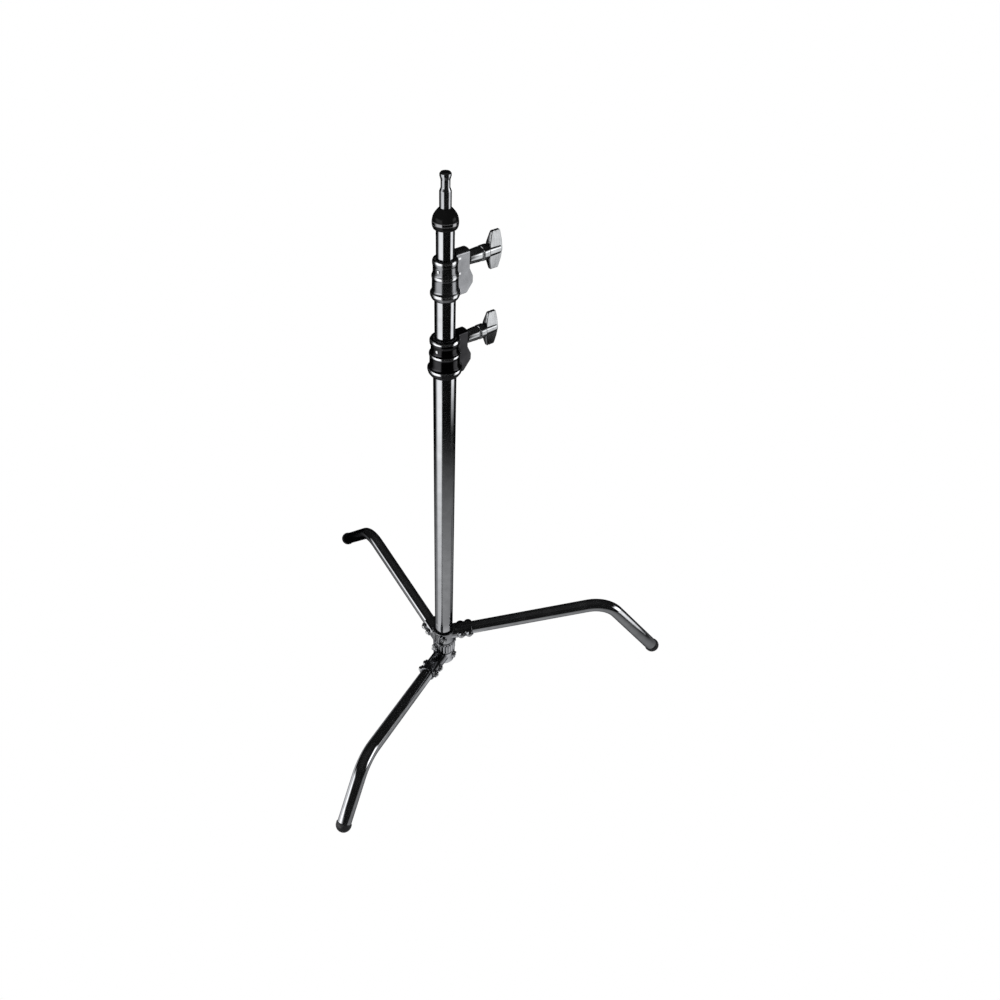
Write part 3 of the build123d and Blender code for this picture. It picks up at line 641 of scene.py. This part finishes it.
def leg_line(leg, sizes):
    """Centre line of a leg tube, and the distances of its bend's start and end and of its toe.

    In the upright plane of the leg, the heading is a1 up to the bend, falls evenly to a2 over an
    arc of the bend radius R, and stays a2. On the arc the centre line is at c + R (-sin a, cos a).
    """
    ring, bend = np.array((0.0, leg.ring_height)), np.array(leg.bend)
    toe = np.array((leg.foot_reach, sizes.foot_radius))
    rise = bend - ring
    first = rise / np.linalg.norm(rise)
    drop = toe - bend
    second = drop / np.linalg.norm(drop)
    a1, a2 = math.atan2(first[1], first[0]), math.atan2(second[1], second[0])
    radius = sizes.leg_bend_radius
    cut = radius * math.tan((a1 - a2) / 2)
    straight_end = np.linalg.norm(rise) - cut
    arc_end = straight_end + radius * (a1 - a2)
    total = arc_end + np.linalg.norm(drop) - cut
    first_end = ring + first * straight_end
    centre = first_end + radius * np.array((math.sin(a1), -math.cos(a1)))
    arc_last = centre + radius * np.array((-math.sin(a2), math.cos(a2)))
    outward_axis = np.array((math.cos(leg.azimuth), math.sin(leg.azimuth), 0))
    sideways = np.array((-math.sin(leg.azimuth), math.cos(leg.azimuth), 0))

    def frame_of(along):
        along = np.asarray(along, float)
        heading = a1 - np.clip((along - straight_end) / radius, 0, a1 - a2)
        up = np.stack([-np.sin(heading), np.cos(heading)], 1)
        before = ring + first * along[:, None]
        on_arc = centre + radius * up
        after = arc_last + second * (along - arc_end)[:, None]
        bent = np.where((along > arc_end)[:, None], after, on_arc)
        flat = np.where((along < straight_end)[:, None], before, bent)
        origin = flat[:, :1] * outward_axis + flat[:, 1:] * np.array((0, 0, 1.0))
        normal = up[:, :1] * outward_axis + up[:, 1:] * np.array((0, 0, 1.0))
        return origin, normal, np.ones(len(along))[:, None] * sideways

    return frame_of, straight_end, arc_end, total


def build_leg_tube(side, leg, sizes):
    """Leg tube from its socket, round its bend, to its foot."""
    frame_of, straight_end, arc_end, total = leg_line(leg, sizes)
    stops = np.concatenate([np.linspace(LEG_START, straight_end, 6)[:-1],
                            np.linspace(straight_end, arc_end, 25),
                            np.linspace(arc_end, total - FOOT_BAND, 4)[1:]])
    points, faces = pipe(frame_of, stops, LEG_RADIUS, LEG_BORE, RIM)
    node = side + "_leg_tube"
    settled(mesh_piece(node + "_skin", points, faces, FINISHES["leg"]), node, leg.body)


def build_foot(side, leg, sizes):
    """Domed foot: a plug in the tube, a short band and a half sphere."""
    frame_of, _, _, total = leg_line(leg, sizes)
    radius = sizes.foot_radius
    shoulder = rounded([(-FOOT_PLUG, 0), (-FOOT_PLUG, LEG_BORE), (-FOOT_BAND, LEG_BORE), (-FOOT_BAND, radius),
                        (-0.4 * FOOT_BAND, radius)], 0.9 * MM, closed=False)
    quarter = np.linspace(0, math.pi / 2, 17)
    dome = np.stack([radius * np.sin(quarter), radius * np.cos(quarter)], 1)
    profile = np.concatenate([shoulder, dome]) + (total, 0)
    profile[-1, 1] = 0
    points, faces = turned(profile, frame_of)
    node = side + "_foot_cap"
    settled(mesh_piece(node + "_skin", points, faces, FINISHES["rubber"]), node, leg.body)


def clamp_frames(leg, sizes):
    """Centre lines of a leg's clamp bolts: square to the leg's upright plane."""
    frame_of = leg_line(leg, sizes)[0]
    reach, height = leg.bend
    slope = math.atan2(height - leg.ring_height, reach)
    along = np.array(leg.clamps) / math.cos(slope)
    origins, normals, sides = frame_of(along)
    return [straight(origin, side, normal) for origin, normal, side in zip(origins, normals, sides)]


def build_clamp_bolts(side, leg, sizes):
    """Two bolts: a washer face, a domed head and a shank with a chamfered end beyond the nut."""
    head, reach = 4.2 * MM, 5.2 * MM
    quarter = np.linspace(0, math.pi / 2, 10)
    dome = np.stack([CLAMP_GRIP + 1.0 * MM + (head - 1.0 * MM) * np.sin(quarter), reach * np.cos(quarter)], 1)
    shank = rounded([(-CLAMP_GRIP - head, 0), (-CLAMP_GRIP - head, 3 * MM), (CLAMP_GRIP, 3 * MM),
                     (CLAMP_GRIP, reach), (CLAMP_GRIP + 0.8 * MM, reach)], 0.4 * MM, closed=False)
    profile = np.concatenate([shank, dome])
    profile[-1, 1] = 0
    shells = [turned(profile, frame_of, SMALL_AROUND) for frame_of in clamp_frames(leg, sizes)]
    node = side + "_clamp_bolts"
    settled(mesh_piece(node + "_skin", *joined(shells), FINISHES["steel"]), node, leg.body)


def build_clamp_nuts(side, leg, sizes):
    """Two hexagon nuts with a round chamfer on their outer face."""
    low, high = -(CLAMP_GRIP + 3.4 * MM), -CLAMP_GRIP
    profile = [(low, 3.05 * MM), (low, 4.2 * MM), (low + 0.7 * MM, 5.2 * MM),
               (high, 5.2 * MM), (high, 3.05 * MM)]
    shells = [turned(profile, frame_of, SMALL_AROUND, closed=True, hexed=(0, 0, 1, 1, 0))
              for frame_of in clamp_frames(leg, sizes)]
    node = side + "_clamp_nuts"
    settled(mesh_piece(node + "_skin", *joined(shells), FINISHES["steel"]), node, leg.body)


def build_plungers(side, leg):
    """Two screwed plungers, each with a rounded end and a hexagonal key hole."""
    start, end, depth = 14 * MM, 26.2 * MM, 4 * MM
    profile = [(start, 0), (start, 3.6 * MM), (start + 0.4 * MM, 4 * MM), (end - 0.5 * MM, 4 * MM),
               (end - 0.15 * MM, 3.85 * MM), (end, 3.5 * MM), (end, 2.35 * MM), (end - 0.15 * MM, 2.2 * MM),
               (end - depth, 2.2 * MM), (end - depth - 0.8 * MM, 0)]
    hexed = (0, 0, 0, 0, 0, 0, 1, 1, 1, 0)
    shells = [turned(profile, radial(leg.azimuth + turn, leg.ring_height), SMALL_AROUND, hexed=hexed)
              for turn in (-PLUNGER_TURN, PLUNGER_TURN)]
    node = side + "_plungers"
    settled(mesh_piece(node + "_skin", *joined(shells), FINISHES["steel"]), node, leg.body)


WING_LENGTH = 23 * MM
RIDGE_RADIUS = 2.6 * MM
RIDGE_BACKS = (15 * MM, 10 * MM, 5 * MM)
# Half depth at the barrel, rounded edge, and fall of the depth per unit of height.
WING_DEPTH, WING_EDGE, WING_TAPER = 6.8 * MM, 1.2 * MM, 0.17
KNOB_SHARP_ANGLE = math.radians(18.5)


def wing_outline(sizes):
    """Both wings in one outline of (distance out, height): three round ridges on each tip.

    Ridge i is the arc x = x_i + r cos t, y = top + r sin t, for t from 165 to 15 degrees.
    """
    root, tip = sizes.knob_tip - WING_LENGTH, sizes.knob_tip
    arc = np.radians(np.linspace(165, 15, 9))
    top = sizes.wing_span / 2 - RIDGE_RADIUS
    ridges = [np.stack([tip - back + RIDGE_RADIUS * np.cos(arc), top + RIDGE_RADIUS * np.sin(arc)], 1)
              for back in RIDGE_BACKS]
    sides = [(root, 0), (root + 2 * MM, 13 * MM)], [(tip - 0.3 * MM, 12 * MM), (tip, 0)]
    upper = np.concatenate([sides[0], *ridges, sides[1]])
    lower = upper[-2:0:-1] * (1, -1)
    return rounded(np.concatenate([upper, lower]), 1.6 * MM, 3)


def build_knob(level, sizes):
    """Hand knob: a turned shank and barrel with grooves and a band, and one plate for both wings."""
    azimuth, height, root = sizes.knob_azimuth, LEVELS[level], sizes.knob_root / MM
    corners = [(root, 0), (root, 9.0), (57, 10.0), (58, 8.2), (60, 8.2), (61, 10.4), (70.5, 10.4),
               (72, 8.4), (92, 8.0), (93.8, 4.9), (94.4, 0)]
    barrel = turned(rounded(np.array(corners) * MM, 0.8 * MM, closed=False), radial(azimuth, height), AROUND)
    out = (math.cos(azimuth), math.sin(azimuth), 0)
    wings = plate(wing_outline(sizes), (0, 0, height), out, (0, 0, 1), WING_DEPTH, WING_EDGE, WING_TAPER, 5)
    node = level + "_knob"
    piece = mesh_piece(node + "_skin", *joined([barrel, wings]), FINISHES["knob"], KNOB_SHARP_ANGLE)
    settled(piece, node, level + "_hand_knob")


def build_pin(node, body, azimuth, height, reach, radius):
    """Cross pin with slightly domed ends."""
    bow = np.linspace(0, 1, 6)
    end = np.stack([reach + 0.5 * MM * (1 - bow ** 2), radius * bow], 1)[::-1]
    start = end[::-1] * (-1, 1)
    frame_of = radial(azimuth, height)
    points, faces = turned(np.concatenate([start, end]), frame_of, SMALL_AROUND)
    settled(mesh_piece(node + "_skin", points, faces, FINISHES["steel"]), node, body)


def build_rivets(node, body, height, inner, skin):
    """Two rivets whose heads are shallow domes on the collar."""
    bow = np.linspace(0, math.pi / 2, 8)
    dome = np.stack([skin + 1.1 * MM * np.sin(bow), 2.8 * MM * np.cos(bow)], 1)
    dome[-1, 1] = 0
    profile = np.concatenate([[(inner, 0), (inner, 1.8 * MM), (skin - 0.3 * MM, 1.8 * MM),
                               (skin - 0.3 * MM, 2.7 * MM)], dome])
    shells = [turned(profile, radial(azimuth, height), SMALL_AROUND) for azimuth in RIVET_AZIMUTHS]
    settled(mesh_piece(node + "_skin", *joined(shells), FINISHES["steel"]), node, body)


def build_spigot():
    """Spigot: a plug in the riser, a shank, a thin neck and a head with a bevelled top."""
    corners = [(842, 0), (842, 10.5), (880, 11), (880, 7.2), (889.5, 7.2), (889.5, 8), (909, 8), (913, 6.2),
               (922, 6.2), (926.5, 7.7), (929, 7.7), (931, 6.0), (931, 0)]
    profile = rounded(np.array(corners) * MM, 0.5 * MM, closed=False)
    points, faces = turned(profile, UPRIGHT)
    piece = mesh_piece("spigot_skin", points, faces, FINISHES["spigot"])
    settled(piece, "spigot", "riser_2")


def build_bumper():
    """Bumper ring: a full round belly that narrows to the spigot."""
    corners = [(864, 12.5), (864, 15.6), (868, 17.6), (873.5, 17.9), (880, 16.4), (885, 12.8), (888.6, 9.4),
               (889, 7.2), (880, 7.2), (880, 12.5)]
    profile = rounded(np.array(corners) * MM, 3.2 * MM, 8)
    points, faces = turned(profile, UPRIGHT, closed=True)
    ring = mesh_piece("top_bumper_skin", points, faces, FINISHES["bumper"])
    settled(ring, "top_bumper", "riser_2")


def build_base_nut():
    """Closed nut under the stack: a flange with a domed foot."""
    corners = [(7, 0), (7, 7.5), (10.9, 7.5), (10.9, 16), (9.2, 16), (6.2, 13), (4.5, 8), (4.5, 0)]
    profile = rounded(np.array(corners) * MM, 0.9 * MM, closed=False)
    points, faces = turned(profile, UPRIGHT)
    settled(mesh_piece("base_nut_skin", points, faces, FINISHES["hub"]), "base_nut", "base")


def build_cast(node, body, finish_name, slot, passes):
    """Softened copy of a cast CAD node, in its own finish."""
    piece = softened_copy(node, CAST_CELL, passes)
    piece.data.materials.clear()
    piece.data.materials.append(FINISHES[finish_name])
    settled(piece, node, body)


# ------------------------------------------------------------------ stage
CAMERA_PLACE = (-0.0706, -1.0627, 1.270)
CAMERA_HEADING = math.radians(86.5)
CAMERA_DROP = math.radians(47.2)
CAMERA_LENS = 28.5
CAMERA_SHIFT = (0.059, 0.120)
FLOOR_HALF = 15.0
LAMP_PLACE = Vector((-1.3, -1.2, 2.6))
LAMP_AIM = Vector((0, 0, 0.5))
LAMP_SIZE = (2.4, 1.8)
LAMP_POWER = 26

# Panels as seen from the stand: middle azimuth, half width and soft widths.
MAIN_PANEL = (math.radians(-146), math.radians(20), math.radians(28), math.radians(8))
THIN_PANEL = (math.radians(-9), math.radians(13), math.radians(8), math.radians(10))
# Strips of the panels on the floor: where they rise, from what brightness, and their full brightness.
MAIN_STRIP = (0.25, 0.9, 0.75)
THIN_STRIP = (0.86, 1.2, 0.0)
FLOOR_PANEL = 1.35
# Panels on the surround: rise and fall by the sine of elevation, and brightness.
WALL_FOOT = (-0.02, 0.04)
WALL_HEAD = (0.25, 0.42)
WALL_PANEL = 2.5
# Soft top: where it rises by the sine of elevation, and its least and full brightness.
TOP_GLOW = (0.70, 0.95, 0.01, 0.02)
# Bright floor round the stand and its hub: inner and outer distance, and brightness.
NEAR_GLOW = (0.28, 0.80, 0.36)
HUB_GLOW = (0.05, 0.15, 1.1)
# Dark sector behind the stand, where the tubes' edges look.
FAR_SIDE = (math.radians(86), math.radians(38), math.radians(20), math.radians(20))
MIRROR_DARK = 0.004


def light_switch(tree, seen, mirrored):
    """Emission that shows one strength to mirrors and another to the camera and to matt faces."""
    path = tree.nodes.new("ShaderNodeLightPath")
    mix = tree.nodes.new("ShaderNodeMix")
    mix.data_type = "FLOAT"
    tree.links.new(path.outputs["Is Glossy Ray"], mix.inputs["Factor"])
    for value, socket in ((seen, mix.inputs["A"]), (mirrored, mix.inputs["B"])):
        if isinstance(value, bpy.types.NodeSocket):
            tree.links.new(value, socket)
        else:
            socket.default_value = value
    return mix.outputs["Result"]


def sector(tree, azimuth, middle, half_width, soft_low, soft_high):
    """Smooth bump of azimuth: 1 within half_width of the middle, falling over the soft widths."""
    turn = math_node(tree, "SUBTRACT", azimuth, middle)
    wrapped = tree.nodes.new("ShaderNodeMath")
    wrapped.operation = "WRAP"
    wrapped.inputs[1].default_value = math.pi
    wrapped.inputs[2].default_value = -math.pi
    tree.links.new(turn, wrapped.inputs[0])
    rise = ranged(tree, wrapped.outputs[0], -half_width - soft_low, -half_width, 0.0, 1.0)
    fall = ranged(tree, wrapped.outputs[0], half_width, half_width + soft_high, 1.0, 0.0)
    return math_node(tree, "MULTIPLY", rise, fall)


def floor_material():
    """Pale floor. Mirrors see it bright near the stand, then dark, with the two light panels' strips."""
    material = bpy.data.materials.new("pale studio floor")
    material.use_nodes = True
    tree = material.node_tree
    tree.nodes.remove(tree.nodes["Principled BSDF"])
    coordinates = tree.nodes.new("ShaderNodeTexCoord").outputs["Object"]
    split = tree.nodes.new("ShaderNodeSeparateXYZ")
    tree.links.new(coordinates, split.inputs[0])
    azimuth = math_node(tree, "ARCTAN2", split.outputs["Y"], split.outputs["X"])
    length = tree.nodes.new("ShaderNodeVectorMath")
    length.operation = "LENGTH"
    tree.links.new(coordinates, length.inputs[0])
    distance = length.outputs["Value"]
    behind = math_node(tree, "SUBTRACT", 1.0, sector(tree, azimuth, *FAR_SIDE))
    close = math_node(tree, "MAXIMUM", ranged(tree, distance, *NEAR_GLOW, 0.0),
                      ranged(tree, distance, *HUB_GLOW, 0.0))
    near = math_node(tree, "MULTIPLY", close, behind)
    main = math_node(tree, "MULTIPLY", sector(tree, azimuth, *MAIN_PANEL),
                     ranged(tree, distance, *MAIN_STRIP, FLOOR_PANEL))
    thin = math_node(tree, "MULTIPLY", sector(tree, azimuth, *THIN_PANEL),
                     ranged(tree, distance, *THIN_STRIP, FLOOR_PANEL))
    strips = math_node(tree, "MAXIMUM", main, thin)
    mirrored = math_node(tree, "MAXIMUM", math_node(tree, "MAXIMUM", strips, near), MIRROR_DARK)
    emission = tree.nodes.new("ShaderNodeEmission")
    tree.links.new(light_switch(tree, 1.0, mirrored), emission.inputs["Strength"])
    tree.links.new(emission.outputs[0], tree.nodes["Material Output"].inputs["Surface"])
    return material


def build_world():
    """White surround for matt faces; mirrors see a dark one with the same two panels and a soft top."""
    world = bpy.data.worlds.new("soft studio")
    bpy.context.scene.world = world
    world.use_nodes = True
    tree = world.node_tree
    direction = tree.nodes.new("ShaderNodeTexCoord").outputs["Generated"]
    split = tree.nodes.new("ShaderNodeSeparateXYZ")
    tree.links.new(direction, split.inputs[0])
    azimuth = math_node(tree, "ARCTAN2", split.outputs["Y"], split.outputs["X"])
    both = math_node(tree, "MAXIMUM", sector(tree, azimuth, *MAIN_PANEL), sector(tree, azimuth, *THIN_PANEL))
    low = ranged(tree, split.outputs["Z"], *WALL_FOOT, 0.0, 1.0)
    high = ranged(tree, split.outputs["Z"], *WALL_HEAD, 1.0, 0.0)
    tall = math_node(tree, "MULTIPLY", math_node(tree, "MULTIPLY", low, high), WALL_PANEL)
    top = ranged(tree, split.outputs["Z"], *TOP_GLOW)
    mirrored = math_node(tree, "MAXIMUM", math_node(tree, "MULTIPLY", both, tall), top)
    tree.links.new(light_switch(tree, 1.0, mirrored), tree.nodes["Background"].inputs["Strength"])
    tree.nodes["Background"].inputs["Color"].default_value = (1, 1, 1, 1)


def build_camera():
    """Camera in front of the stand: its axis is given by heading and drop, the frame by lens and shift."""
    data = bpy.data.cameras.new("main camera")
    data.lens = CAMERA_LENS
    data.sensor_width = 36
    data.shift_x, data.shift_y = CAMERA_SHIFT
    data.clip_end = 100
    camera = bpy.data.objects.new("main camera", data)
    bpy.context.scene.collection.objects.link(camera)
    ahead = Vector((math.cos(CAMERA_DROP) * math.cos(CAMERA_HEADING),
                    math.cos(CAMERA_DROP) * math.sin(CAMERA_HEADING), -math.sin(CAMERA_DROP)))
    right = Vector((math.sin(CAMERA_HEADING), -math.cos(CAMERA_HEADING), 0))
    up = right.cross(ahead)
    camera.matrix_world = Matrix.Translation(CAMERA_PLACE) @ Matrix((right, up, -ahead)).transposed().to_4x4()
    bpy.context.scene.camera = camera


def build_floor():
    """Large flat floor as a coarse grid."""
    steps = np.linspace(-FLOOR_HALF, FLOOR_HALF, 9)
    x, y = np.meshgrid(steps, steps)
    points = np.stack([x.ravel(), y.ravel(), np.zeros(x.size)], 1)
    row, column = np.meshgrid(np.arange(8), np.arange(8))
    first = (row * 9 + column).ravel()
    faces = np.stack([first, first + 1, first + 10, first + 9], 1).tolist()
    floor = mesh_piece("studio_floor", points, faces, floor_material())


def build_lamp():
    """Wide soft lamp over the camera's left, for gentle shading of matt faces."""
    data = bpy.data.lights.new("soft panel", "AREA")
    data.shape = "RECTANGLE"
    data.size, data.size_y = LAMP_SIZE
    data.energy = LAMP_POWER
    lamp = bpy.data.objects.new("soft panel", data)
    bpy.context.scene.collection.objects.link(lamp)
    turn = (LAMP_AIM - LAMP_PLACE).to_track_quat("-Z", "Y").to_matrix().to_4x4()
    lamp.matrix_world = Matrix.Translation(LAMP_PLACE) @ turn
    lamp.visible_glossy = False


# ------------------------------------------------------------------ operators
class STAND_OT_finishes(bpy.types.Operator):
    """Make the shader groups and finishes, and give them to the CAD nodes that keep their mesh"""
    bl_idname = "stand.finishes"
    bl_label = "Finishes"

    def execute(self, context):
        build_finishes(context.scene.stand_colours)
        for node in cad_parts:
            cad_material(node, FINISHES[KEPT_NODES.get(node, "steel")])
        return {"FINISHED"}


class STAND_OT_tubes(bpy.types.Operator):
    """Build the column and both risers"""
    bl_idname = "stand.tubes"
    bl_label = "Column and risers"

    def execute(self, context):
        for node, (body, finish_name) in TUBES.items():
            build_tube(node, body, finish_name)
        build_pin(*SPINDLE_PIN)
        return {"FINISHED"}


class STAND_OT_top(bpy.types.Operator):
    """Build the spigot, its pin and the bumper ring"""
    bl_idname = "stand.top"
    bl_label = "Spigot and bumper"

    def execute(self, context):
        build_spigot()
        build_pin(*SPIGOT_PIN)
        build_bumper()
        return {"FINISHED"}


class STAND_OT_collars(bpy.types.Operator):
    """Build both collars and their rivets"""
    bl_idname = "stand.collars"
    bl_label = "Collars"

    def execute(self, context):
        for node, cast in COLLARS.items():
            build_cast(node, *cast)
        for node, rivets in RIVETS.items():
            build_rivets(node, *rivets)
        return {"FINISHED"}


class STAND_OT_knobs(bpy.types.Operator):
    """Build both hand knobs"""
    bl_idname = "stand.knobs"
    bl_label = "Knobs"

    def execute(self, context):
        for level in LEVELS:
            build_knob(level, context.scene.stand_sizes)
        return {"FINISHED"}


class STAND_OT_hub(bpy.types.Operator):
    """Build the leg castings, their fasteners and the base nut"""
    bl_idname = "stand.hub"
    bl_label = "Leg hub"

    def execute(self, context):
        for side, leg in LEGS.items():
            build_cast(side + "_leg_casting", leg.body, "hub", "hub_casting", 3)
            build_clamp_bolts(side, leg, context.scene.stand_sizes)
            build_clamp_nuts(side, leg, context.scene.stand_sizes)
            build_plungers(side, leg)
        build_base_nut()
        return {"FINISHED"}


class STAND_OT_legs(bpy.types.Operator):
    """Build the bent leg tubes and their feet"""
    bl_idname = "stand.legs"
    bl_label = "Legs and feet"

    def execute(self, context):
        for side, leg in LEGS.items():
            build_leg_tube(side, leg, context.scene.stand_sizes)
            build_foot(side, leg, context.scene.stand_sizes)
        return {"FINISHED"}


class STAND_OT_stage(bpy.types.Operator):
    """Build the floor, the surround, the lamp and the camera"""
    bl_idname = "stand.stage"
    bl_label = "Stage"

    def execute(self, context):
        build_floor()
        build_world()
        build_lamp()
        build_camera()
        context.scene.view_settings.view_transform = "Standard"
        return {"FINISHED"}


OPERATORS = (STAND_OT_finishes, STAND_OT_tubes, STAND_OT_top, STAND_OT_collars, STAND_OT_knobs, STAND_OT_hub,
             STAND_OT_legs, STAND_OT_stage)


class STAND_PT_builder(bpy.types.Panel):
    """Stand builder in the 3D view's sidebar"""
    bl_idname = "STAND_PT_builder"
    bl_label = "Light Stand"
    bl_space_type = "VIEW_3D"
    bl_region_type = "UI"
    bl_category = "Stand"

    def draw(self, context):
        for group in (context.scene.stand_sizes, context.scene.stand_colours):
            box = self.layout.box()
            for name in group.bl_rna.properties.keys():
                if name not in ("rna_type", "name"):
                    box.prop(group, name)
        for operator in OPERATORS:
            self.layout.operator(operator.bl_idname)


def register():
    for item in (StandSizes, StandColours, *OPERATORS, STAND_PT_builder):
        bpy.utils.register_class(item)
    bpy.types.Scene.stand_sizes = bpy.props.PointerProperty(type=StandSizes)
    bpy.types.Scene.stand_colours = bpy.props.PointerProperty(type=StandColours)


def unregister():
    del bpy.types.Scene.stand_colours
    del bpy.types.Scene.stand_sizes
    for item in (STAND_PT_builder, *reversed(OPERATORS), StandColours, StandSizes):
        bpy.utils.unregister_class(item)


def main():
    register()
    bpy.ops.stand.finishes()
    bpy.ops.stand.tubes()
    bpy.ops.stand.top()
    bpy.ops.stand.collars()
    bpy.ops.stand.knobs()
    bpy.ops.stand.hub()
    bpy.ops.stand.legs()
    bpy.ops.stand.stage()
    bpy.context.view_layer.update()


if __name__ == "__main__":
    main()
